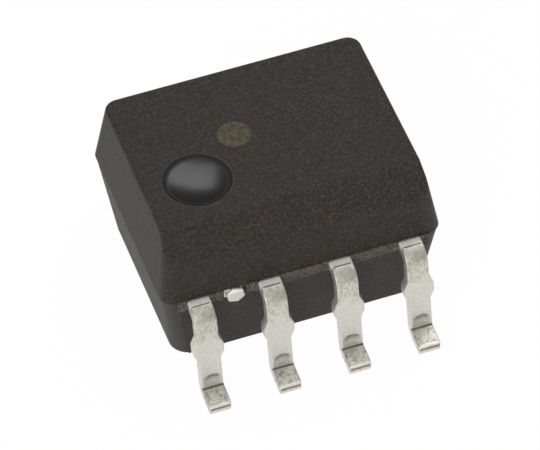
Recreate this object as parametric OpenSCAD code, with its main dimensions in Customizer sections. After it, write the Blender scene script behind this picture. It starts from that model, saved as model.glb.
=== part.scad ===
// Eight-lead gull-wing optocoupler chip, millimetres.
// The origin is on the board, under the centre of the body. X runs along the lead rows and
// Z is up. Leads 1 to 4 come out at -Y, from -X to +X, and leads 5 to 8 at +Y, from +X to -X.

/* [Body] */
// Length of the body along the lead rows, at the parting line
body_l = 5.04; // [4.95:0.01:5.20]
// Width of the body between the lead rows, at the parting line
body_w = 3.94; // [3.85:0.01:4.02]
// Height of the body's underside above the board
standoff = 0.26; // [0.10:0.01:0.30]
// Depth of the body below the parting line
lower_h = 1.62; // [1.50:0.01:1.70]
// Depth of the body above the parting line
upper_h = 1.28; // [1.20:0.01:1.40]
// Draft angle of the walls below the parting line
lower_draft = 7.8; // [5:0.1:9]
// Draft angle of the walls above the parting line
upper_draft = 8.8; // [5:0.1:9]
// Height of the straight band of wall at the parting line
parting_band = 0.01; // [0.005:0.005:0.03]
// Corner radius of the body at the parting line and at the top
corner_r = 0.22; // [0.10:0.01:0.30]
// Corner radius of the body at the underside
foot_corner_r = 0.32; // [0.10:0.01:0.40]
// Depth of the 45 degree bevel along the top edge beside leads 1 to 4
bevel = 0.46; // [0.30:0.01:0.55]

/* [Index dimple] */
// Diameter of the round index dimple in the top face
dimple_d = 1.20; // [0.80:0.01:1.30]
// Depth of the dish in its middle
dimple_depth = 0.10; // [0.06:0.01:0.14]
// Distance from the lead 1 end of the body to the dimple's centre
dimple_from_end = 1.15; // [1.05:0.01:1.60]
// Distance from the bevel's upper edge to the dimple's centre
dimple_from_bevel = 0.85; // [0.75:0.01:1.30]

/* [Leads] */
// Distance between neighbouring leads
pitch = 1.27; // [1.25:0.01:1.28]
// Distance over the toes of the two lead rows
span = 5.994; // [5.90:0.002:6.20]
// Thickness of the lead frame
lead_t = 0.20; // [0.17:0.005:0.22]
// Width of a lead
lead_w = 0.39; // [0.33:0.01:0.45]
// Length of a foot, from the crease at its heel to the toe
foot_l = 0.40; // [0.32:0.01:0.45]
// Angle by which a foot slopes down to its toe
foot_angle = 7; // [0:0.5:8]
// Angle by which a leg leans out from upright
leg_angle = 8; // [5:0.5:9]
// Outside radius of the bend at the shoulder
bend_r = 0.30; // [0.26:0.01:0.33]
// Underside radius of the bend at the heel
heel_r = 0.225; // [0.225:0.005:0.26]
// Width over the cut dam bar stubs on a leg
stub_w = 0.54; // [0.48:0.01:0.60]
// Length of the dam bar stubs along the leg
stub_l = 0.46; // [0.30:0.01:0.55]
// Height of the stubs' middle above the board
stub_height = 1.08; // [0.95:0.01:1.20]

/* [Tie bar and flash] */
// Width of the tie bar that shows between leads 1 and 2
tie_w = 0.35; // [0.25:0.01:0.40]
// Length of the cut tie bar that stands out of the wall
tie_out = 0.03; // [0.01:0.01:0.06]
// Length of the resin ledge that stands out of the wall between the leads
flash_out = 0.05; // [0.02:0.01:0.07]
// Length of the resin ledge beyond the outer leads
flash_end = 0.22; // [0.10:0.01:0.28]

/* [Lead frame inside the body] */
// Straight length of a lead just inside the wall
root_l = 0.22; // [0.18:0.01:0.28]
// Height by which the inner plates are set above and below the lead plane
set_off = 0.50; // [0.48:0.01:0.60]
// Gap between neighbouring parts of one lead frame
frame_gap = 0.25; // [0.20:0.01:0.30]
// Rim of plate that shows around a chip
plate_rim = 0.10; // [0.08:0.01:0.14]
// Width of the plate that carries the light-emitting chip
emitter_plate_w = 0.70; // [0.60:0.01:0.75]

/* [Chips] */
// Length and width of the light-emitting chip
emitter_l = 0.30; // [0.24:0.01:0.32]
// Thickness of the light-emitting chip
emitter_t = 0.15; // [0.10:0.01:0.18]
// Length of the driver chip
driver_l = 0.90; // [0.80:0.01:1.00]
// Width of the driver chip
driver_w = 0.60; // [0.55:0.01:0.62]
// Length of the detector chip
detector_l = 1.50; // [1.30:0.01:1.60]
// Width of the detector chip
detector_w = 1.20; // [1.00:0.01:1.25]
// Distance by which the detector chip's middle is set off from the light-emitting chip's
detector_shift = 0.15; // [0.05:0.01:0.20]
// Thickness of the driver and detector chips
chip_t = 0.20; // [0.15:0.01:0.21]
// Thickness of the cement under each chip
cement_t = 0.02; // [0.01:0.005:0.03]
// Rim of cement around each chip
cement_rim = 0.03; // [0.01:0.005:0.05]

/* [Wires] */
// Diameter of the bond wire
wire_d = 0.025; // [0.020:0.001:0.030]
// Diameter of the ball where a wire starts on a chip
ball_d = 0.075; // [0.060:0.001:0.080]
// Height of the ball and of the stitch
ball_h = 0.025; // [0.024:0.001:0.030]
// Distance from a chip's edge to the middle of a ball
ball_inset = 0.08; // [0.06:0.005:0.10]
// Distance from a plate's edge to the middle of a stitch
stitch_inset = 0.12; // [0.08:0.01:0.14]
// Rise of a wire's arc above the line between its ends, for each millimetre of its length
wire_arc = 0.10; // [0.09:0.005:0.11]
// Further rise of every wire's arc, whatever its length
wire_lift = 0.055; // [0.050:0.001:0.060]

/* [Light path] */
// Length of the clear gel along the lead rows
gel_l = 4.26; // [4.24:0.01:4.40]
// Width of the clear gel
gel_w = 2.20; // [2.16:0.01:2.30]
// Width of gel beyond the edge of the driver chip's plate
gel_rim = 0.20; // [0.15:0.01:0.25]
// Corner radius of the gel
gel_r = 0.30; // [0.20:0.01:0.40]
// Thickness of the insulating film between the two gels
film_t = 0.08; // [0.05:0.01:0.09]
// Rim of film beyond the gel
film_rim = 0.06; // [0.03:0.01:0.08]

/* [Hidden] */

$fn = 48;
hull_fn = 32;
cut = 1;

// Levels of the body
parting_z = standoff + lower_h;
top_z = parting_z + upper_h;
top_in = upper_h * tan(upper_draft);
foot_in = lower_h * tan(lower_draft);
bevel_wall_y = -body_w / 2 + (upper_h - bevel) * tan(upper_draft);
bevel_top_y = bevel_wall_y + bevel;
dish_r = (dimple_d * dimple_d / 4 + dimple_depth * dimple_depth) / (2 * dimple_depth);

// Lead numbers, row by row
row_leads = 4;
function lead_x(n) = (n <= row_leads ? n - 2.5 : 6.5 - n) * pitch;

// Gull-wing outline, outward distance first and height second
bend_in_r = bend_r - lead_t;
heel_in_r = heel_r - lead_t;
toe = [span / 2, lead_t * cos(foot_angle)];
heel = [toe.x - foot_l, toe.y + foot_l * tan(foot_angle)];
shoulder = [heel.x - (parting_z - heel.y) * tan(leg_angle), parting_z];
foot_along = [cos(foot_angle), -sin(foot_angle)];
foot_normal = [sin(foot_angle), cos(foot_angle)];
heel_tangent = heel_in_r * tan((90 - leg_angle - foot_angle) / 2);
heel_centre = heel + heel_tangent * foot_along + heel_in_r * foot_normal;
shoulder_tangent = bend_r * tan((90 - leg_angle) / 2);
shoulder_centre = [shoulder.x - shoulder_tangent, parting_z - bend_r];
bend_steps = 12;

// Levels of the lead frame: plates of leads 1 to 4 face down, those of 5 to 8 face up
frame_z = parting_z - lead_t;
upper_face_z = frame_z + set_off;
lower_face_z = parting_z - set_off;
film_z = (upper_face_z + lower_face_z - film_t) / 2;
offset_turn = 45;
offset_run = set_off / tan(offset_turn);
mitre = lead_t * tan(offset_turn / 2);
root_y = body_w / 2 - root_l;
plate_y = root_y - offset_run;

// Plan of the upper plates
driver_plate_y1 = gel_w / 2 - gel_rim;
driver_plate_y0 = driver_plate_y1 - driver_w - 2 * plate_rim;
upper_tip_y = driver_plate_y0 - frame_gap;
tie_x = (lead_x(1) + lead_x(2)) / 2;
driver_pos = [lead_x(2), (driver_plate_y0 + driver_plate_y1) / 2];
emitter_pos = [lead_x(3), upper_tip_y - plate_rim - emitter_l / 2];

// Plan of the lower plates
detector_pos = [emitter_pos.x, emitter_pos.y + detector_shift];
detector_plate_x0 = detector_pos.x - detector_l / 2 - plate_rim;
detector_plate_y0 = detector_pos.y - detector_w / 2 - plate_rim;
detector_plate_y1 = detector_pos.y + detector_w / 2 + plate_rim;
lower_tip_y = detector_plate_y1 + frame_gap;

// Heights of the chips' faces above their plates
driver_face = cement_t + chip_t;
emitter_face = cement_t + emitter_t;

// ---- Body ----

module body_ring(l, w, r, z) {
    for (sx = [-1, 1], sy = [-1, 1])
        translate([sx * (l / 2 - r), sy * (w / 2 - r), z])
            cylinder(h = parting_band, r = r, $fn = hull_fn);
}

module moulding() {
    hull() {
        body_ring(body_l - 2 * foot_in, body_w - 2 * foot_in, foot_corner_r, standoff);
        body_ring(body_l, body_w, corner_r, parting_z - parting_band);
        body_ring(body_l - 2 * top_in, body_w - 2 * top_in, corner_r, top_z - parting_band);
    }
}

module bevel_cut() {
    translate([0, bevel_wall_y, top_z - bevel])
        rotate([90, 0, 90])
            linear_extrude(body_l + cut, center = true)
                polygon([[-cut, -cut], [bevel + cut, bevel + cut], [-cut, bevel + cut]]);
}

module dimple_cut() {
    translate([-body_l / 2 + dimple_from_end, bevel_top_y + dimple_from_bevel, top_z - dimple_depth + dish_r])
        sphere(dish_r);
}

module flash_ledges() {
    flash_l = lead_x(row_leads) - lead_x(1) + lead_w + 2 * flash_end;
    translate([-flash_l / 2, -body_w / 2 - flash_out, frame_z])
        cube([flash_l, body_w + 2 * flash_out, lead_t]);
}

module body() {
    color("#2b2a29")
    difference() {
        union() {
            moulding();
            flash_ledges();
        }
        bevel_cut();
        dimple_cut();
        for (n = [1:2 * row_leads]) lead_shape(n);
        gel_layer(upper_face_z, upper_face_z - lower_face_z, false);
        film_shape();
    }
}

// ---- Leads ----

// Turns an outline of outward distance and height into a strip of metal on the +Y side
module strip(w) {
    rotate([90, 0, 90])
        linear_extrude(w, center = true)
            children();
}

function arc(centre, r, from, to) =
    [for (i = [0:bend_steps]) let (a = from + (to - from) * i / bend_steps)
        centre + r * [cos(a), sin(a)]];

// Outline of a lead outside the wall, from its top over the toe and back underneath
gull_wing = concat(
    arc(shoulder_centre, bend_r, 90, leg_angle),
    arc(heel_centre, heel_in_r, 180 + leg_angle, 270 - foot_angle),
    [toe, toe - lead_t * foot_normal],
    arc(heel_centre, heel_r, 270 - foot_angle, 180 + leg_angle),
    arc(shoulder_centre, bend_in_r, leg_angle, 90));

// Outline of the end of a tie bar, cut off just outside the wall
tie_end = [[body_w / 2 + tie_out, parting_z], [body_w / 2 + tie_out, frame_z]];

// Outline of the metal between the wall and the tip of a plate, which is set up or down
function root(tip_y, up) =
    let (
        step = up ? set_off : -set_off,
        low = up ? 0 : mitre,
        high = up ? mitre : 0
    )
    [[root_y + low, frame_z], [plate_y + low, frame_z + step], [tip_y, frame_z + step],
        [tip_y, parting_z + step], [plate_y + high, parting_z + step], [root_y + high, parting_z]];

// Widths of a lead as seen from its toe, with the stubs of the dam bar at mid height
module lead_widths() {
    taper = stub_w - lead_w;
    side = [[lead_w / 2, -cut],
        [lead_w / 2, stub_height - stub_l / 2],
        [stub_w / 2, stub_height - stub_l / 2 + taper],
        [stub_w / 2, stub_height + stub_l / 2 - taper],
        [lead_w / 2, stub_height + stub_l / 2],
        [lead_w / 2, top_z]];
    rotate([90, 0, 0])
        linear_extrude(span + cut, center = true)
            polygon(concat(side, [for (i = [len(side) - 1:-1:0]) [-side[i].x, side[i].y]]));
}

// A flat plate at the upper or lower level, given by two opposite corners
module plate(a, b, face_z, up) {
    translate([min(a.x, b.x), min(a.y, b.y), face_z])
        mirror([0, 0, up ? 0 : 1])
            cube([abs(b.x - a.x), abs(b.y - a.y), lead_t]);
}

module on_side(n) {
    translate([lead_x(n), 0, 0])
        rotate(n <= row_leads ? 180 : 0)
            children();
}

module tie_bar() {
    translate([tie_x, 0, 0])
        rotate(180)
            strip(tie_w)
                polygon(concat(tie_end, root(plate_y - mitre, true)));
    plate([tie_x - tie_w / 2, -plate_y], [tie_x + tie_w / 2, driver_plate_y0], upper_face_z, true);
}

module lead_shape(n) {
    up = n <= row_leads;
    tip_y = up ? -upper_tip_y : lower_tip_y;
    on_side(n)
        intersection() {
            strip(stub_w)
                polygon(concat(gull_wing, root(tip_y, up)));
            lead_widths();
        }
    outer_x = lead_x(4) + lead_w / 2;
    if (n == 3)
        plate([emitter_pos.x - emitter_plate_w / 2, -plate_y + plate_rim],
            [emitter_pos.x + emitter_plate_w / 2, upper_tip_y], upper_face_z, true);
    if (n == 4) {
        plate([outer_x - lead_w, upper_tip_y], [outer_x, driver_plate_y0], upper_face_z, true);
        plate([tie_x - tie_w / 2, driver_plate_y0], [outer_x, driver_plate_y1], upper_face_z, true);
        tie_bar();
    }
    if (n == 5)
        plate([detector_plate_x0, detector_plate_y0], [outer_x, detector_plate_y1], lower_face_z, false);
    if (n == 5)
        plate([outer_x - lead_w, detector_plate_y1], [outer_x, lower_tip_y], lower_face_z, false);
    if (n == 8)
        plate([lead_x(8), lower_tip_y], [lead_x(7) - lead_w / 2 - frame_gap, lower_tip_y + lead_w],
            lower_face_z, false);
}

module lead(n) color("#c9cac4") lead_shape(n);

// ---- Chips and cement ----

// A slab that lies on a plate's face, on the side that the face looks to
module slab(pos, l, w, t, lift, face_z, up) {
    translate([pos.x - l / 2, pos.y - w / 2, face_z])
        mirror([0, 0, up ? 0 : 1])
            translate([0, 0, lift])
                cube([l, w, t]);
}

module emitter_shape() slab(emitter_pos, emitter_l, emitter_l, emitter_t, cement_t, upper_face_z, false);
module driver_shape() slab(driver_pos, driver_l, driver_w, chip_t, cement_t, upper_face_z, false);
module detector_shape() slab(detector_pos, detector_l, detector_w, chip_t, cement_t, lower_face_z, true);

module cement_shape(pos, l, w, face_z, up) {
    slab(pos, l + 2 * cement_rim, w + 2 * cement_rim, cement_t, 0, face_z, up);
}

module emitter_cement_shape() cement_shape(emitter_pos, emitter_l, emitter_l, upper_face_z, false);
module driver_cement_shape() cement_shape(driver_pos, driver_l, driver_w, upper_face_z, false);
module detector_cement_shape() cement_shape(detector_pos, detector_l, detector_w, lower_face_z, true);

module emitter_chip() color("#7c2f2a") emitter_shape();
module driver_chip() color("#5d6470") driver_shape();
module detector_chip() color("#4f5a6b") detector_shape();
module emitter_cement() color("#b9b6ab") emitter_cement_shape();
module driver_cement() color("#b9b6ab") driver_cement_shape();
module detector_cement() color("#b9b6ab") detector_cement_shape();

// ---- Bond wires ----

// One wire from a ball on a chip to a stitch on a plate, as an arc in an upright plane
module wire_shape(a, chip_h, b, face_z, up) {
    d = norm(b - a);
    start_h = chip_h + 0.7 * ball_h;
    drop = start_h - 0.7 * ball_h;
    chord = sqrt(d * d + drop * drop);
    rise = wire_lift + wire_arc * chord;
    arc_r = (chord * chord / 4 + rise * rise) / (2 * rise);
    half = asin(chord / (2 * arc_r));
    translate([a.x, a.y, face_z])
        mirror([0, 0, up ? 0 : 1])
            rotate(atan2(b.y - a.y, b.x - a.x)) {
                translate([0, 0, chip_h])
                    cylinder(h = ball_h, d = ball_d);
                translate([d, 0, 0])
                    cylinder(h = ball_h, d = ball_d);
                translate([0, 0, start_h])
                    rotate([90, atan2(drop, d), 0])
                        translate([chord / 2, rise - arc_r, 0])
                            rotate(90 - half)
                                rotate_extrude(angle = 2 * half)
                                    translate([arc_r, 0])
                                        circle(d = wire_d, $fn = 24);
            }
}

driver_edge = [driver_l / 2 - ball_inset, driver_w / 2 - ball_inset];
detector_edge = [detector_l / 2 - ball_inset, detector_w / 2 - ball_inset];
emitter_side_x = emitter_pos.x - (emitter_plate_w + emitter_l) / 4;

module supply_in_shape()
    wire_shape(driver_pos + [-driver_edge.x, -driver_edge.y], driver_face,
        [lead_x(1), upper_tip_y - stitch_inset], upper_face_z, false);
module signal_in_shape()
    wire_shape(driver_pos + [0, -driver_edge.y], driver_face,
        [lead_x(2), upper_tip_y - stitch_inset], upper_face_z, false);
module ground_in_shape()
    wire_shape(driver_pos + [-driver_edge.x, driver_edge.y], driver_face,
        [tie_x, driver_pos.y + driver_edge.y], upper_face_z, false);
module anode_shape()
    wire_shape(driver_pos + [driver_edge.x, -driver_edge.y], driver_face,
        [emitter_side_x, upper_tip_y - stitch_inset], upper_face_z, false);
module cathode_shape()
    wire_shape(emitter_pos, emitter_face,
        [emitter_pos.x, driver_plate_y0 + stitch_inset], upper_face_z, false);
module supply_out_shape()
    wire_shape(detector_pos + [-detector_edge.x, detector_edge.y], driver_face,
        [lead_x(7) - lead_w / 2 - frame_gap - stitch_inset, lower_tip_y + stitch_inset], lower_face_z, true);
module signal_out_shape()
    wire_shape(detector_pos + [0, detector_edge.y], driver_face,
        [lead_x(6), lower_tip_y + stitch_inset], lower_face_z, true);
module ground_out_shape()
    wire_shape(detector_pos + [detector_edge.x, 0], driver_face,
        [detector_pos.x + detector_l / 2 + plate_rim + stitch_inset, detector_pos.y], lower_face_z, true);

module wire_supply_in() color("#d9a93a") supply_in_shape();
module wire_signal_in() color("#d9a93a") signal_in_shape();
module wire_ground_in() color("#d9a93a") ground_in_shape();
module wire_anode() color("#d9a93a") anode_shape();
module wire_cathode() color("#d9a93a") cathode_shape();
module wire_supply_out() color("#d9a93a") supply_out_shape();
module wire_signal_out() color("#d9a93a") signal_out_shape();
module wire_ground_out() color("#d9a93a") ground_out_shape();

// ---- Gel and film ----

module rounded_plan(l, w, r) {
    square([l - 2 * r, w], center = true);
    square([l, w - 2 * r], center = true);
    for (sx = [-1, 1], sy = [-1, 1])
        translate([sx * (l / 2 - r), sy * (w / 2 - r)])
            circle(r);
}

// A layer of gel between a plate's face and the film, or right across to the other plates
module gel_layer(face_z, h, up) {
    translate([0, 0, face_z])
        mirror([0, 0, up ? 0 : 1])
            linear_extrude(h)
                rounded_plan(gel_l, gel_w, gel_r);
}

module film_shape() {
    translate([0, 0, film_z])
        linear_extrude(film_t)
            rounded_plan(gel_l + 2 * film_rim, gel_w + 2 * film_rim, gel_r + film_rim);
}

module gel_upper() {
    color("#dfe6e6", 0.5)
    difference() {
        gel_layer(upper_face_z, upper_face_z - film_z - film_t, false);
        emitter_shape();
        emitter_cement_shape();
        driver_shape();
        driver_cement_shape();
        supply_in_shape();
        signal_in_shape();
        ground_in_shape();
        anode_shape();
        cathode_shape();
    }
}

module film() color("#c9822b", 0.8) film_shape();

module gel_lower() {
    color("#dfe6e6", 0.5)
    difference() {
        gel_layer(lower_face_z, film_z - lower_face_z, true);
        detector_shape();
        detector_cement_shape();
        supply_out_shape();
        signal_out_shape();
        ground_out_shape();
    }
}

body();
lead(1);  // lead_1
lead(2);  // lead_2
lead(3);  // lead_3
lead(4);  // lead_4
lead(5);  // lead_5
lead(6);  // lead_6
lead(7);  // lead_7
lead(8);  // lead_8
emitter_chip();
driver_chip();
detector_chip();
emitter_cement();
driver_cement();
detector_cement();
wire_supply_in();
wire_signal_in();
wire_ground_in();
wire_anode();
wire_cathode();
wire_supply_out();
wire_signal_out();
wire_ground_out();
gel_upper();
film();
gel_lower();
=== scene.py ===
"""Looks of a gull-wing optocoupler chip: a moulded body, tinned leads and the parts sealed inside."""

import math

import bmesh
import bpy
from mathutils import Matrix, Vector, noise


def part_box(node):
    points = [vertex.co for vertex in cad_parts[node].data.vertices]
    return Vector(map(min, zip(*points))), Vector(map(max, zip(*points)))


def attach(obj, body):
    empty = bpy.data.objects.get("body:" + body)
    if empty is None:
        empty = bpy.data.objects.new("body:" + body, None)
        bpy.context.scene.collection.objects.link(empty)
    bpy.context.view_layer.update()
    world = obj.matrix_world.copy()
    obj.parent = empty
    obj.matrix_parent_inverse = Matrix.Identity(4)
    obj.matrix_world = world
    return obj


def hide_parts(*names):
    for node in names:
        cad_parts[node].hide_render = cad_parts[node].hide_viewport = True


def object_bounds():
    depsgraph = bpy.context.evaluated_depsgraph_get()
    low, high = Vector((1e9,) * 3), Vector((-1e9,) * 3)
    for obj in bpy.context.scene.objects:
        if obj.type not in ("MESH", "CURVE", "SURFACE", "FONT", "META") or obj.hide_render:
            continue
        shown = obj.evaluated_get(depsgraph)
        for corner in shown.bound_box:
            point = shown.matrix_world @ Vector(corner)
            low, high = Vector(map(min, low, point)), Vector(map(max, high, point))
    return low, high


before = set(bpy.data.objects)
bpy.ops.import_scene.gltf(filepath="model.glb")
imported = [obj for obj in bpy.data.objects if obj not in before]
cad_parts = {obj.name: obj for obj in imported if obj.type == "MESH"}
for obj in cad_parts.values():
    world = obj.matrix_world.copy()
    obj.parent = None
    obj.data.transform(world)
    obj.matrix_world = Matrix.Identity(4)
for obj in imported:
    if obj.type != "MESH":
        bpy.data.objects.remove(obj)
cad_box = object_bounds()

MM = 0.001

# Sizes are in millimetres and angles in degrees. X runs along the lead rows, and Z is the height
# above the board. The front is the side of leads 1 to 4, towards -Y.

# Body
BODY_LENGTH = 5.04
BODY_WIDTH = 3.94
PARTING = 1.88
PARTING_STEP = 0.012
TOP_DRAFT = 8.8
FOOT_DRAFT = 7.8
BEVEL = 0.46
CORNER = 0.24
FOOT_CORNER = 0.36
FOOT_ROUNDING = 0.10
RIM_ROUNDING = 0.06

# Marks on its top
DIMPLE_CENTRE = (-1.370, -0.533)
DIMPLE_WIDTH = 1.20
DIMPLE_DEPTH = 0.10
DOT_CENTRE = (-0.44, 0.253)
DOT_WIDTH = 0.58

# Leads
PITCH = 1.27
LEAD_WIDTH = 0.39
LEAD_ROUNDING = 0.022
LEADS = [f"lead_{n}" for n in range(1, 9)]

# Cut end of the tie bar, which shows in the front wall between leads 1 and 2
TIE_END_X = -1.245
TIE_END_Z = 1.740
TIE_END_HALF_WIDTH = 0.178
TIE_END_HALF_HEIGHT = 0.165
TIE_END_TURN = 12
TIE_END_ROOT = 0.02
TIE_END_LENGTH = 0.085
TIE_END_ROUNDING = 0.02
TIE_BAR_TUCK = 0.01

# Torn resin ledges between the leads
LEDGE_DEPTH = 0.09
LEDGE_HEIGHT = 0.20
LEDGE_DROP = 0.095
LEDGE_PROUD = 0.003
LEDGE_BEYOND = 0.20
LEDGE_OVERLAP = 0.03
LEDGE_TIE_GAP = (-1.45, -1.04)
TEAR_COARSE = 0.10
TEAR_FINE = 0.035
TEAR_WAVE = 0.12

# Camera: its lens in millimetres, its place in metres, and the way that its right, down and view point
SENSOR = 36
LENS = 318.00267
CAMERA_PLACE = (-0.016832, -0.052922, 0.062635)
CAMERA_RIGHT = (0.942934, -0.331917, -0.026587)
CAMERA_DOWN = (-0.263664, -0.695498, -0.668404)
CAMERA_AHEAD = (0.203363, 0.637271, -0.743323)

# Colours of the moulding compound
COMPOUND_DARK = (0.0095, 0.0060, 0.0038)
COMPOUND_LIGHT = (0.0165, 0.0112, 0.0080)
COMPOUND_GRIT = (0.050, 0.039, 0.031)
COMPOUND_SPECK = (0.20, 0.185, 0.165)
DOT_OLIVE = (0.125, 0.105, 0.050)
# Painted highlight on the dimple's rim
DIMPLE_RIM_HIGHLIGHT = (0.115, 0.10, 0.085)
DIMPLE_SKIN = (0.0030, 0.0022, 0.0025)
FLASH_DARK = (0.022, 0.018, 0.014)
FLASH_PALE = (0.20, 0.175, 0.15)
FLASH_CLOUD = (0.03, 0.025, 0.02)

# Colours of the leads
TIN_DARK = (0.60, 0.585, 0.52)
TIN_LIGHT = (0.76, 0.75, 0.70)
TIN_MOTTLE = (0.33, 0.32, 0.24)
TIN_YELLOWED = (0.62, 0.60, 0.46)
TIN_SMUDGE = (0.14, 0.135, 0.105)
TIN_DIRT = (0.27, 0.26, 0.19)
# Painted highlights on the toe's edge and the shoulder strip, and painted shade in the crease and the
# heel groove
TIN_TOE_HIGHLIGHT = (0.92, 0.90, 0.83)
TIN_HIGHLIGHT = (0.97, 0.955, 0.88)
CREASE_SHADE = (0.075, 0.070, 0.052)
BARE_COPPER = (0.27, 0.145, 0.10)

WHITE = (1, 1, 1, 1)
FLOOR_WHITE = (0.9, 0.9, 0.9, 1)


# ---- Shader helpers ----

def add_node(tree, kind, **settings):
    """A node of this kind, with plain settings and input values given by name."""
    made = tree.nodes.new(kind)
    for name, value in settings.items():
        if hasattr(made, name):
            setattr(made, name, value)
        else:
            made.inputs[name].default_value = value
    return made


def put(tree, value, socket):
    """Feeds a socket with another node's output or with a constant."""
    if isinstance(value, bpy.types.NodeSocket):
        tree.links.new(value, socket)
    else:
        socket.default_value = value


def maths(tree, operation, a, b=0.0, clamp=False):
    made = add_node(tree, "ShaderNodeMath", operation=operation, use_clamp=clamp)
    put(tree, a, made.inputs[0])
    put(tree, b, made.inputs[1])
    return made.outputs[0]


def times(tree, first, *others):
    """The product of two or more values or masks."""
    for other in others:
        first = maths(tree, "MULTIPLY", first, other)
    return first


def plus(tree, first, *others):
    for other in others:
        first = maths(tree, "ADD", first, other)
    return first


def ramp(tree, value, start, end, to_min=0.0, to_max=1.0):
    """Goes smoothly from to_min to to_max as the value goes from start to end."""
    made = add_node(tree, "ShaderNodeMapRange", interpolation_type="SMOOTHSTEP")
    put(tree, value, made.inputs["Value"])
    put(tree, start, made.inputs["From Min"])
    put(tree, end, made.inputs["From Max"])
    put(tree, to_min, made.inputs["To Min"])
    put(tree, to_max, made.inputs["To Max"])
    return made.outputs["Result"]


def between(tree, mask, a, b):
    """Goes from a to b as the mask goes from 0 to 1."""
    return ramp(tree, mask, 0.0, 1.0, a, b)


def band(tree, value, low, high, soft):
    """A mask that is 1 between low and high and fades to 0 over a soft edge outside them."""
    return times(tree, ramp(tree, value, low - soft, low), ramp(tree, value, high + soft, high))


def blend_colour(tree, mask, a, b):
    """Goes from colour a to colour b as the mask goes from 0 to 1."""
    made = add_node(tree, "ShaderNodeMix", data_type="RGBA")
    put(tree, mask, made.inputs["Factor"])
    for name, value in (("A", a), ("B", b)):
        socket = [s for s in made.inputs if s.name == name and s.type == "RGBA"][0]
        put(tree, (*value, 1) if isinstance(value, tuple) else value, socket)
    return [s for s in made.outputs if s.type == "RGBA"][0]


def millimetres(tree):
    """Object coordinates in millimetres, whole and split in three."""
    place = tree.nodes.new("ShaderNodeTexCoord")
    scale = add_node(tree, "ShaderNodeVectorMath", operation="SCALE")
    scale.inputs["Scale"].default_value = 1 / MM
    tree.links.new(place.outputs["Object"], scale.inputs[0])
    split = tree.nodes.new("ShaderNodeSeparateXYZ")
    tree.links.new(scale.outputs[0], split.inputs[0])
    return scale.outputs[0], split.outputs


def grain_noise(tree, place, scale, detail=2.0, roughness=0.5):
    made = add_node(tree, "ShaderNodeTexNoise", Scale=scale, Detail=detail, Roughness=roughness)
    tree.links.new(place, made.inputs["Vector"])
    return made.outputs["Fac"]


def bump(tree, height, strength, depth, under=None):
    """A normal roughened by a height, over another normal if one is given."""
    made = add_node(tree, "ShaderNodeBump", Strength=strength, Distance=depth * MM)
    tree.links.new(height, made.inputs["Height"])
    if under is not None:
        tree.links.new(under, made.inputs["Normal"])
    return made.outputs["Normal"]


def new_material(name):
    """A new material, its node tree and its Principled shader."""
    made = bpy.data.materials.new(name)
    made.use_nodes = True
    return made, made.node_tree, made.node_tree.nodes["Principled BSDF"]


def make_grain_group():
    """Fine grain shared by the finishes: a slow cloud, a fine grit and sparse bright specks."""
    group = bpy.data.node_groups.new("surface_grain", "ShaderNodeTree")
    for name, value in (("Cloud scale", 3.0), ("Grit scale", 30.0), ("Speck scale", 24.0)):
        socket = group.interface.new_socket(name, in_out="INPUT", socket_type="NodeSocketFloat")
        socket.default_value = value
    for name in ("Cloud", "Grit", "Specks"):
        group.interface.new_socket(name, in_out="OUTPUT", socket_type="NodeSocketFloat")
    given = group.nodes.new("NodeGroupInput")
    result = group.nodes.new("NodeGroupOutput")
    place, _ = millimetres(group)
    cloud = add_node(group, "ShaderNodeTexNoise", Detail=3.0, Roughness=0.6)
    grit = add_node(group, "ShaderNodeTexNoise", Detail=3.0, Roughness=0.65)
    specks = add_node(group, "ShaderNodeTexVoronoi", feature="F1")
    for made, name in ((cloud, "Cloud scale"), (grit, "Grit scale"), (specks, "Speck scale")):
        group.links.new(place, made.inputs["Vector"])
        group.links.new(given.outputs[name], made.inputs["Scale"])
    group.links.new(ramp(group, cloud.outputs["Fac"], 0.3, 0.7), result.inputs["Cloud"])
    group.links.new(grit.outputs["Fac"], result.inputs["Grit"])
    # Few cells hold a speck: the cell's own random shade picks them.
    near = ramp(group, specks.outputs["Distance"], 0.42, 0.12)
    shade_of_cell = maths(group, "FRACT", times(group, specks.outputs["Color"], 7.3))
    pick = ramp(group, shade_of_cell, 0.80, 0.95)
    group.links.new(times(group, near, pick), result.inputs["Specks"])
    return group


def place_grain(tree, group, cloud, grit, specks=24.0):
    """The grain at these scales, as its cloud, grit and specks."""
    made = tree.nodes.new("ShaderNodeGroup")
    made.node_tree = group
    made.inputs["Cloud scale"].default_value = cloud
    made.inputs["Grit scale"].default_value = grit
    made.inputs["Speck scale"].default_value = specks
    return made.outputs


# ---- Finishes ----

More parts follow.
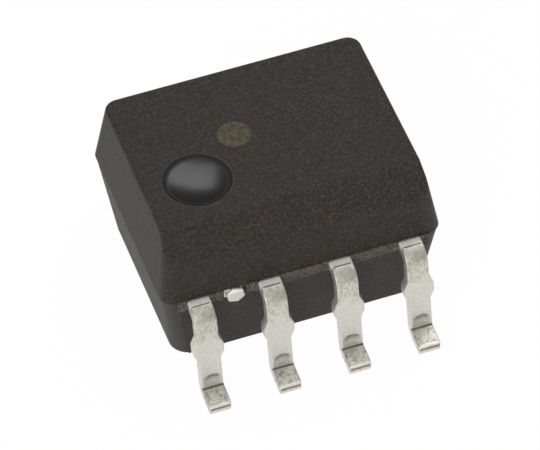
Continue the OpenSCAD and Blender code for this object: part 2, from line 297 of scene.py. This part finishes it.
def moulding_finish(grain):
    """Matte black moulding compound, with a grained skin, a polished dimple and a marked dot."""
    made, tree, shader = new_material("moulding_compound")
    place, (x, y, z) = millimetres(tree)
    cloud, grit, specks = place_grain(tree, grain, 2.2, 20.0, 28.0)

    def from_centre(centre):
        """How far a point lies from the middle of a mark on the top."""
        along = maths(tree, "SUBTRACT", x, centre[0])
        across = maths(tree, "SUBTRACT", y, centre[1])
        return maths(tree, "SQRT", plus(tree, times(tree, along, along), times(tree, across, across)))

    # The skin: clouded, gritty, and specked more towards the right end
    colour = blend_colour(tree, cloud, COMPOUND_DARK, COMPOUND_LIGHT)
    colour = blend_colour(tree, ramp(tree, grit, 0.44, 0.66), colour, COMPOUND_GRIT)
    to_right = ramp(tree, x, -1.5, 2.2, 0.25, 0.60)
    colour = blend_colour(tree, times(tree, specks, to_right), colour, COMPOUND_SPECK)

    below_dimple = cad_box[1].z / MM - 2 * DIMPLE_DEPTH
    on_top = ramp(tree, z, below_dimple, below_dimple + 0.01)

    # The dot: patchy inside, with a firmer rim
    dot_edge = DOT_WIDTH / 2
    from_dot = plus(tree, from_centre(DOT_CENTRE), times(tree, grit, 0.06))
    dot = times(tree, on_top, ramp(tree, from_dot, dot_edge + 0.05, dot_edge + 0.01))
    dot_rim = times(tree, on_top, band(tree, from_dot, dot_edge - 0.01, dot_edge + 0.02, 0.02))
    patches = ramp(tree, grain_noise(tree, place, 16.0), 0.38, 0.62, 0.25, 0.9)
    firm = times(tree, dot_rim, ramp(tree, grit, 0.35, 0.6))
    mark = maths(tree, "MAXIMUM", times(tree, dot, patches), firm)
    colour = blend_colour(tree, times(tree, mark, 0.75), colour, DOT_OLIVE)

    # The dimple: a painted highlight on its outer rim, a polished dish and a rough shadowed band inside
    # its edge
    edge = DIMPLE_WIDTH / 2
    from_dimple = from_centre(DIMPLE_CENTRE)
    polished = times(tree, on_top, ramp(tree, from_dimple, edge + 0.004, edge - 0.004))
    rim_highlight = times(tree, on_top, band(tree, from_dimple, edge + 0.002, edge + 0.012, 0.008))
    rough_rim = times(tree, polished, ramp(tree, from_dimple, edge - 0.14, edge - 0.02))
    colour = blend_colour(tree, times(tree, rim_highlight, 0.45), colour, DIMPLE_RIM_HIGHLIGHT)
    colour = blend_colour(tree, polished, colour, DIMPLE_SKIN)
    tree.links.new(colour, shader.inputs["Base Color"])

    rough = ramp(tree, grit, 0.3, 0.7, 0.52, 0.66)
    rough = between(tree, polished, rough, 0.24)
    rough = between(tree, rough_rim, rough, 0.75)
    tree.links.new(rough, shader.inputs["Roughness"])
    shader.inputs["Specular IOR Level"].default_value = 0.42

    skin = maths(tree, "SUBTRACT", 1.0, polished)
    fine = bump(tree, times(tree, grit, skin), 0.75, 0.05)
    lumps = times(tree, grain_noise(tree, place, 9.0), skin)
    tree.links.new(bump(tree, lumps, 0.35, 0.05, fine), shader.inputs["Normal"])
    return made


def tin_finish(grain):
    """Matt tin over copper: mottled and dull high on the leg, clean below, bare copper at the toe."""
    made, tree, shader = new_material("tinned_lead")
    place, (x, y, z) = millimetres(tree)
    cloud, grit, _ = place_grain(tree, grain, 7.0, 34.0)
    # How far out a point lies from the chip's middle, and how far across from its lead's middle
    out = maths(tree, "ABSOLUTE", y)
    across = maths(tree, "FRACT", maths(tree, "DIVIDE", x, PITCH))
    across = times(tree, maths(tree, "SUBTRACT", across, 0.5), PITCH)
    off_middle = maths(tree, "ABSOLUTE", across)
    colour = blend_colour(tree, ramp(tree, grit, 0.3, 0.7), TIN_DARK, TIN_LIGHT)

    # Dull mottling high on the leg
    stretched = add_node(tree, "ShaderNodeMapping")
    stretched.inputs["Scale"].default_value = (1.0, 0.45, 0.45)
    tree.links.new(place, stretched.inputs["Vector"])
    streaks = grain_noise(tree, stretched.outputs["Vector"], 26.0, 4.0, 0.65)
    high = ramp(tree, plus(tree, z, times(tree, cloud, 0.20)), 1.30, 1.55)
    high = times(tree, high, ramp(tree, out, 2.12, 2.22))
    dull = times(tree, high, ramp(tree, streaks, 0.42, 0.66))
    colour = blend_colour(tree, times(tree, dull, 0.70), colour, TIN_MOTTLE)
    colour = blend_colour(tree, times(tree, high, 0.25), colour, TIN_YELLOWED)

    # A dark arched smudge on the outer face of the leg, above the heel
    arch = times(tree, across, across, 2.6)
    arched = plus(tree, z, arch, times(tree, cloud, 0.02))
    halo = times(tree, band(tree, arched, 0.46, 0.53, 0.05), 0.35)
    smudge = maths(tree, "MAXIMUM", band(tree, arched, 0.495, 0.535, 0.03), halo)
    smudge = times(tree, smudge, ramp(tree, off_middle, 0.17, 0.09), ramp(tree, out, 2.48, 2.52),
                   ramp(tree, grit, 0.32, 0.58, 0.45, 1.0))
    colour = blend_colour(tree, times(tree, smudge, 0.85), colour, TIN_SMUDGE)

    # Dirt on the foot, and a painted highlight along the toe's upper edge
    dirt = ramp(tree, grain_noise(tree, place, 15.0, 4.0, 0.65), 0.44, 0.64)
    dirt = times(tree, ramp(tree, out, 2.62, 2.65), dirt, ramp(tree, out, 2.975, 2.945))
    colour = blend_colour(tree, times(tree, dirt, 0.75), colour, TIN_DIRT)
    toe_highlight = times(tree, band(tree, out, 2.965, 2.995, 0.012), ramp(tree, z, 0.165, 0.185))
    colour = blend_colour(tree, toe_highlight, colour, TIN_TOE_HIGHLIGHT)

    # A painted highlight as a bright strip on the shoulder beside the wall, ended by a crease, and
    # painted shade as dark lines in that crease and in a groove at the heel
    on_shoulder = ramp(tree, z, 1.80, 1.84)
    shoulder_highlight = times(tree, ramp(tree, out, 2.145, 2.135), on_shoulder, ramp(tree, out, 1.985, 2.015))
    colour = blend_colour(tree, shoulder_highlight, colour, TIN_HIGHLIGHT)
    # Painted shade: dark lines in the crease and in the heel groove
    crease = times(tree, band(tree, out, 2.124, 2.144, 0.006), on_shoulder,
                   ramp(tree, off_middle, 0.175, 0.145))
    groove = times(tree, band(tree, out, 2.580, 2.612, 0.008), band(tree, z, 0.232, 0.268, 0.010),
                   ramp(tree, grit, 0.30, 0.50, 0.65, 1.0))
    shaded_lines = maths(tree, "MAXIMUM", crease, groove)
    colour = blend_colour(tree, times(tree, shaded_lines, 0.88), colour, CREASE_SHADE)

    # Bare copper across the cut end of the toe, which leans in towards its top
    end_lean = -0.1228
    end_depth = plus(tree, out, times(tree, z, end_lean))
    ragged = plus(tree, z, times(tree, grain_noise(tree, place, 12.0), 0.05))
    copper = times(tree, ramp(tree, end_depth, 2.9700, 2.9718), band(tree, ragged, 0.125, 0.185, 0.012))
    colour = blend_colour(tree, times(tree, copper, 0.9), colour, BARE_COPPER)
    tree.links.new(colour, shader.inputs["Base Color"])

    # The shoulder's painted highlight is made less metallic, so that it stays bright
    tree.links.new(between(tree, shoulder_highlight, 0.80, 0.25), shader.inputs["Metallic"])
    rough = ramp(tree, grit, 0.3, 0.7, 0.34, 0.50)
    tree.links.new(between(tree, dull, rough, 0.6), shader.inputs["Roughness"])
    fine = bump(tree, grit, 0.5, 0.012)
    lumps = grain_noise(tree, place, 9.0, 1.0)
    tree.links.new(bump(tree, lumps, 0.22, 0.04, fine), shader.inputs["Normal"])
    return made


def flash_finish(grain):
    """Thin broken resin ledges: the same compound, torn and paler."""
    made, tree, shader = new_material("resin_flash")
    cloud, grit, _ = place_grain(tree, grain, 6.0, 28.0)
    colour = blend_colour(tree, ramp(tree, grit, 0.3, 0.65), FLASH_DARK, FLASH_PALE)
    colour = blend_colour(tree, times(tree, cloud, 0.6), colour, FLASH_CLOUD)
    tree.links.new(colour, shader.inputs["Base Color"])
    shader.inputs["Roughness"].default_value = 0.75
    tree.links.new(bump(tree, grit, 0.8, 0.03), shader.inputs["Normal"])
    return made


def plain_finish(grain, name, dark, light, roughness, metallic, scale):
    """A finish for the sealed pieces: two tones of one colour, broken up by grain."""
    made, tree, shader = new_material(name)
    cloud, grit, _ = place_grain(tree, grain, scale, scale * 5)
    tree.links.new(blend_colour(tree, cloud, dark, light), shader.inputs["Base Color"])
    shader.inputs["Metallic"].default_value = metallic
    rough = ramp(tree, grit, 0.3, 0.7, roughness, roughness + 0.12)
    tree.links.new(rough, shader.inputs["Roughness"])
    tree.links.new(bump(tree, grit, 0.2, 0.004), shader.inputs["Normal"])
    return made


def clear_finish(name, colour, roughness):
    """Clear gel or film."""
    made, tree, shader = new_material(name)
    place, _ = millimetres(tree)
    shader.inputs["Base Color"].default_value = (*colour, 1)
    shader.inputs["Transmission Weight"].default_value = 0.9
    shader.inputs["IOR"].default_value = 1.41
    rough = ramp(tree, grain_noise(tree, place, 4.0), 0.3, 0.7, roughness, roughness + 0.06)
    tree.links.new(rough, shader.inputs["Roughness"])
    return made


# ---- Mesh helpers ----
# Pieces are shaped in millimetres and put into metres when they are finished.

def add_object(bm, name):
    """Turns a bmesh into an object of this name."""
    mesh = bpy.data.meshes.new(name)
    bm.to_mesh(mesh)
    bm.free()
    made = bpy.data.objects.new(name, mesh)
    bpy.context.scene.collection.objects.link(made)
    return made


def add_piece(bm, name, material):
    """Makes a piece of a shape in millimetres and lets it ride on the chip."""
    bmesh.ops.recalc_face_normals(bm, faces=bm.faces)
    bmesh.ops.scale(bm, vec=(MM, MM, MM), verts=bm.verts)
    piece = add_object(bm, name)
    piece.data.materials.append(material)
    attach(piece, "root")
    return piece


def merged_copy(node):
    """A solid's surface in millimetres, with its loose triangles joined and its flat faces whole."""
    bm = bmesh.new()
    bm.from_mesh(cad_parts[node].data)
    bmesh.ops.scale(bm, vec=(1 / MM, 1 / MM, 1 / MM), verts=bm.verts)
    bmesh.ops.remove_doubles(bm, verts=bm.verts, dist=0.0001)
    bmesh.ops.dissolve_limit(bm, angle_limit=math.radians(1), verts=bm.verts, edges=bm.edges)
    return bm


def box_mm(node):
    low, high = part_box(node)
    return low / MM, high / MM


def span(edge, axis):
    """How far an edge reaches along an axis."""
    return abs(edge.verts[0].co[axis] - edge.verts[1].co[axis])


def cut_plane(bm, place, facing, **options):
    """Cuts a shape along a plane."""
    return bmesh.ops.bisect_plane(bm, geom=bm.verts[:] + bm.edges[:] + bm.faces[:], plane_co=place,
                                  plane_no=facing, dist=0.0001, **options)


def sharp_edges(bm, angle):
    return [e for e in bm.edges if len(e.link_faces) == 2 and e.calc_face_angle(0) > math.radians(angle)]


def round_edges(bm, edges, width, segments):
    bmesh.ops.bevel(bm, geom=edges, offset=width, offset_type="OFFSET", segments=segments, profile=0.5,
                    affect="EDGES", clamp_overlap=True, material=-1)


def shade(bm, flat_area):
    """Smooth shading, apart from large flat faces, which keep their own direction."""
    for face in bm.faces:
        face.smooth = face.calc_area() < flat_area


def cut_out(bm, *tools):
    """Takes the tools' shapes out of a shape, all in millimetres, and gives back what is left."""
    work = add_object(bm, "temporary")
    for tool in tools:
        cutter = add_object(tool, "temporary")
        modifier = work.modifiers.new("cut", "BOOLEAN")
        modifier.operation = "DIFFERENCE"
        modifier.solver = "EXACT"
        modifier.object = cutter
        bpy.context.view_layer.update()
        seen = work.evaluated_get(bpy.context.evaluated_depsgraph_get())
        left = bpy.data.meshes.new_from_object(seen)
        work.modifiers.clear()
        work.data = left
        bpy.data.objects.remove(cutter)
    left = bmesh.new()
    left.from_mesh(work.data)
    bpy.data.objects.remove(work)
    return left


# ---- Body ----

def drafted_block(low, high):
    """The moulding before its cuts: a rounded block that narrows up and down from the parting line."""
    bm = bmesh.new()
    bmesh.ops.create_cube(bm, size=1)
    bmesh.ops.scale(bm, vec=(BODY_LENGTH, BODY_WIDTH, high - low), verts=bm.verts)
    bmesh.ops.translate(bm, vec=(0, 0, (high + low) / 2), verts=bm.verts)
    round_edges(bm, [e for e in bm.edges if span(e, 2) > 1], CORNER, 12)
    step = PARTING - PARTING_STEP
    cut_plane(bm, (0, 0, PARTING), (0, 0, 1))
    cut_plane(bm, (0, 0, step), (0, 0, 1))

    # How far the walls stand in at each level, and the radius of the corners there
    top_in = (high - PARTING) * math.tan(math.radians(TOP_DRAFT))
    foot_in = (PARTING - low) * math.tan(math.radians(FOOT_DRAFT))
    levels = ((high, top_in, CORNER), (PARTING, 0, CORNER), (step, PARTING_STEP, CORNER),
              (low, foot_in, FOOT_CORNER))
    for vert in bm.verts:
        _, inset, radius = min(levels, key=lambda level: abs(level[0] - vert.co.z))
        for axis, size in ((0, BODY_LENGTH), (1, BODY_WIDTH)):
            side = math.copysign(1, vert.co[axis])
            beyond = max(0, abs(vert.co[axis]) - (size / 2 - CORNER))
            if beyond:
                vert.co[axis] = side * (size / 2 - radius - inset + beyond * radius / CORNER)
            else:
                vert.co[axis] -= side * inset
    return bm


def build_body(material):
    low, high = (corner.z for corner in box_mm("body"))
    bm = drafted_block(low, high)

    # The bevel along the front edge of the top
    wall_in = (high - PARTING - BEVEL) * math.tan(math.radians(TOP_DRAFT))
    cut = cut_plane(bm, (0, wall_in - BODY_WIDTH / 2, high - BEVEL), (0, -1, 1), clear_outer=True)
    open_edges = [e for e in cut["geom_cut"] if isinstance(e, bmesh.types.BMEdge)]
    bmesh.ops.holes_fill(bm, edges=open_edges, sides=0)
    bmesh.ops.recalc_face_normals(bm, faces=bm.faces)

    foot = [e for e in sharp_edges(bm, 60) if all(v.co.z < low + 0.01 for v in e.verts)]
    round_edges(bm, foot, FOOT_ROUNDING, 4)
    rims = [e for e in sharp_edges(bm, 25) if all(v.co.z > PARTING + 0.2 for v in e.verts)]
    round_edges(bm, rims, RIM_ROUNDING, 4)
    held = [merged_copy(node) for node in LEADS + ["gel_upper", "film", "gel_lower"]]
    bm = cut_out(bm, dish(high), *held)
    shade(bm, 0.2)
    piece = add_piece(bm, "moulded_body", material)
    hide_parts("body")


def dish(top):
    """A ball that leaves a shallow dish of the dimple's width and depth."""
    half = DIMPLE_WIDTH / 2
    ball = (half * half + DIMPLE_DEPTH * DIMPLE_DEPTH) / (2 * DIMPLE_DEPTH)
    bm = bmesh.new()
    bmesh.ops.create_icosphere(bm, subdivisions=6, radius=ball)
    bmesh.ops.translate(bm, vec=(*DIMPLE_CENTRE, top - DIMPLE_DEPTH + ball), verts=bm.verts)
    return bm


# ---- Leads and resin between them ----

def build_leads(material):
    for name in LEADS:
        bm = merged_copy(name)
        if name == "lead_4":
            tuck_tie_bar(bm)
        round_edges(bm, sharp_edges(bm, 30), LEAD_ROUNDING, 3)
        shade(bm, 0.05)
        piece = add_piece(bm, "tinned_" + name, material)
        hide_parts(name)


def tuck_tie_bar(bm):
    """Sets the tie bar's end just inside the front wall, behind the six-sided face made for it."""
    inside = TIE_BAR_TUCK - BODY_WIDTH / 2
    for vert in bm.verts:
        if vert.co.x < 0 and vert.co.y < inside:
            vert.co.y = inside


def build_tie_end(material):
    """The cut end of the tie bar: a flattened, six-sided stub of metal in the wall."""
    wall = -BODY_WIDTH / 2
    bm = bmesh.new()
    bmesh.ops.create_circle(bm, cap_ends=True, segments=6, radius=1)
    bmesh.ops.rotate(bm, matrix=Matrix.Rotation(math.radians(TIE_END_TURN), 3, "Z"), verts=bm.verts)
    bmesh.ops.scale(bm, vec=(TIE_END_HALF_WIDTH, TIE_END_HALF_HEIGHT, 1), verts=bm.verts)
    bmesh.ops.rotate(bm, matrix=Matrix.Rotation(math.radians(90), 3, "X"), verts=bm.verts)
    bmesh.ops.translate(bm, vec=(TIE_END_X, wall + TIE_END_ROOT, TIE_END_Z), verts=bm.verts)
    made = bmesh.ops.extrude_face_region(bm, geom=bm.faces[:])["geom"]
    front = [v for v in made if isinstance(v, bmesh.types.BMVert)]
    bmesh.ops.translate(bm, vec=(0, -TIE_END_LENGTH, 0), verts=front)
    proud = [e for e in bm.edges if min(v.co.y for v in e.verts) < wall]
    round_edges(bm, proud, TIE_END_ROUNDING, 3)
    shade(bm, 0.02)
    add_piece(bm, "tie_bar_end", material)


def build_ledges(material):
    """Torn ledges of resin between the leads, just under the parting line on both sides."""
    wall = BODY_WIDTH / 2
    half = LEAD_WIDTH / 2 - LEDGE_OVERLAP
    first, second, third, fourth = [(n - 1.5) * PITCH for n in range(4)]
    gaps = [
        (first - half - LEDGE_BEYOND, first - half),
        (fourth + half, fourth + half + LEDGE_BEYOND),
        (first + half, LEDGE_TIE_GAP[0]),
        (LEDGE_TIE_GAP[1], second - half),
        (second + half, third - half),
        (third + half, fourth - half),
    ]
    for side, name in ((-1, "resin_ledges_front"), (1, "resin_ledges_back")):
        bm = bmesh.new()
        for start, end in gaps:
            middle = ((start + end) / 2, side * (wall + LEDGE_PROUD), PARTING - LEDGE_DROP)
            made = bmesh.ops.create_cube(bm, size=1)["verts"]
            bmesh.ops.scale(bm, vec=(end - start, LEDGE_DEPTH, LEDGE_HEIGHT), verts=made)
            bmesh.ops.translate(bm, vec=middle, verts=made)
        for axis, cuts in ((0, 30), (2, 5)):
            edges = [e for e in bm.edges if span(e, axis) > 0.1]
            bmesh.ops.subdivide_edges(bm, edges=edges, cuts=cuts, use_grid_fill=True)
        for vert in bm.verts:
            if abs(vert.co.y) > wall:
                torn = noise.noise(vert.co / TEAR_COARSE) + 0.6 * noise.noise(vert.co / TEAR_FINE)
                vert.co.y -= side * (0.022 + 0.03 * torn)
            vert.co.z += 0.02 * noise.noise(vert.co / TEAR_WAVE + Vector((7, 0, 0)))
        shade(bm, 1)
        add_piece(bm, name, material)


# ---- Pieces sealed inside ----

def finish_sealed_pieces(grain):
    """Gives the pieces sealed inside, which keep their own solids, a finish each."""
    crystal = plain_finish(grain, "emitter_crystal", (0.16, 0.03, 0.02), (0.30, 0.07, 0.05),
                           roughness=0.2, metallic=0.0, scale=3.0)
    silicon = plain_finish(grain, "silicon", (0.09, 0.10, 0.13), (0.16, 0.18, 0.24),
                           roughness=0.15, metallic=0.4, scale=3.0)
    cement = plain_finish(grain, "silver_cement", (0.42, 0.41, 0.38), (0.62, 0.60, 0.56),
                          roughness=0.5, metallic=0.5, scale=6.0)
    film = clear_finish("amber_film", (0.80, 0.38, 0.06), 0.1)
    gel = clear_finish("clear_gel", (0.95, 0.96, 0.95), 0.05)
    gold = plain_finish(grain, "gold_wire", (0.78, 0.52, 0.16), (0.90, 0.66, 0.26),
                        roughness=0.2, metallic=1.0, scale=8.0)
    finishes = {
        "emitter_chip": crystal, "driver_chip": silicon, "detector_chip": silicon,
        "emitter_cement": cement, "driver_cement": cement, "detector_cement": cement,
        "film": film, "gel_upper": gel, "gel_lower": gel,
    }
    for name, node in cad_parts.items():
        if name in finishes or name.startswith("wire_"):
            node.data.materials.clear()
            node.data.materials.append(finishes.get(name, gold))


# ---- Stage ----

def white_floor_finish():
    """White floor that keeps the chip's shadow, and that the camera and metal see as white."""
    made, tree, shader = new_material("white_floor")
    shader.inputs["Base Color"].default_value = FLOOR_WHITE
    shader.inputs["Roughness"].default_value = 0.9
    shader.inputs["Specular IOR Level"].default_value = 0.0
    seen = tree.nodes.new("ShaderNodeLightPath").outputs
    mirrored = maths(tree, "ADD", seen["Is Glossy Ray"], seen["Is Transmission Ray"], clamp=True)
    direct = maths(tree, "MAXIMUM", mirrored, times(tree, seen["Is Camera Ray"], 0.975))
    glow = add_node(tree, "ShaderNodeEmission", Strength=1.0, Color=WHITE)
    mix = tree.nodes.new("ShaderNodeMixShader")
    tree.links.new(direct, mix.inputs[0])
    tree.links.new(shader.outputs[0], mix.inputs[1])
    tree.links.new(glow.outputs[0], mix.inputs[2])
    tree.links.new(mix.outputs[0], tree.nodes["Material Output"].inputs["Surface"])
    return made


def surroundings():
    """A soft white room, brighter overhead, that the camera sees as plain white."""
    world = bpy.data.worlds.new("studio")
    bpy.context.scene.world = world
    world.use_nodes = True
    tree = world.node_tree
    back = tree.nodes["Background"]
    seen = tree.nodes.new("ShaderNodeLightPath").outputs
    place = tree.nodes.new("ShaderNodeTexCoord")
    split = tree.nodes.new("ShaderNodeSeparateXYZ")
    tree.links.new(place.outputs["Generated"], split.inputs[0])
    room = ramp(tree, split.outputs["Z"], 0.15, 0.75, 0.16, 0.45)
    tree.links.new(between(tree, seen["Is Camera Ray"], room, 1.0), back.inputs["Strength"])
    back.inputs["Color"].default_value = WHITE


def softbox(name, place, size, power):
    """A rectangular lamp that points at the chip. Place and size are in metres."""
    data = bpy.data.lights.new(name, "AREA")
    data.shape = "RECTANGLE"
    data.size, data.size_y = size
    data.energy = power
    lamp = bpy.data.objects.new(name, data)
    bpy.context.scene.collection.objects.link(lamp)
    place, chip = Vector(place), Vector((0, 0, 0.002))
    turn = (chip - place).to_track_quat("-Z", "Y").to_matrix()
    lamp.matrix_world = Matrix.Translation(place) @ turn.to_4x4()


def studio():
    bm = bmesh.new()
    bmesh.ops.create_grid(bm, x_segments=1, y_segments=1, size=0.6)
    floor = add_object(bm, "floor")
    floor.data.materials.append(white_floor_finish())
    surroundings()
    softbox("top_softbox", (0.03, 0.05, 0.10), (0.10, 0.07), 0.068)
    softbox("front_fill", (-0.10, -0.11, 0.075), (0.09, 0.08), 0.135)


def camera():
    """The view: from the front left, above, with the chip turned a little in the frame."""
    data = bpy.data.cameras.new("camera")
    data.sensor_width = SENSOR
    data.lens = LENS
    data.clip_start = 0.005
    data.clip_end = 2
    made = bpy.data.objects.new("camera", data)
    bpy.context.scene.collection.objects.link(made)
    turn = Matrix((Vector(CAMERA_RIGHT), -Vector(CAMERA_DOWN), -Vector(CAMERA_AHEAD))).transposed()
    made.matrix_world = Matrix.Translation(Vector(CAMERA_PLACE)) @ turn.to_4x4()
    bpy.context.scene.camera = made


camera()
studio()
grain = make_grain_group()
moulding = moulding_finish(grain)
tin = tin_finish(grain)
build_body(moulding)
build_leads(tin)
build_tie_end(tin)
build_ledges(flash_finish(grain))
finish_sealed_pieces(grain)

bpy.context.scene.view_settings.view_transform = "Standard"
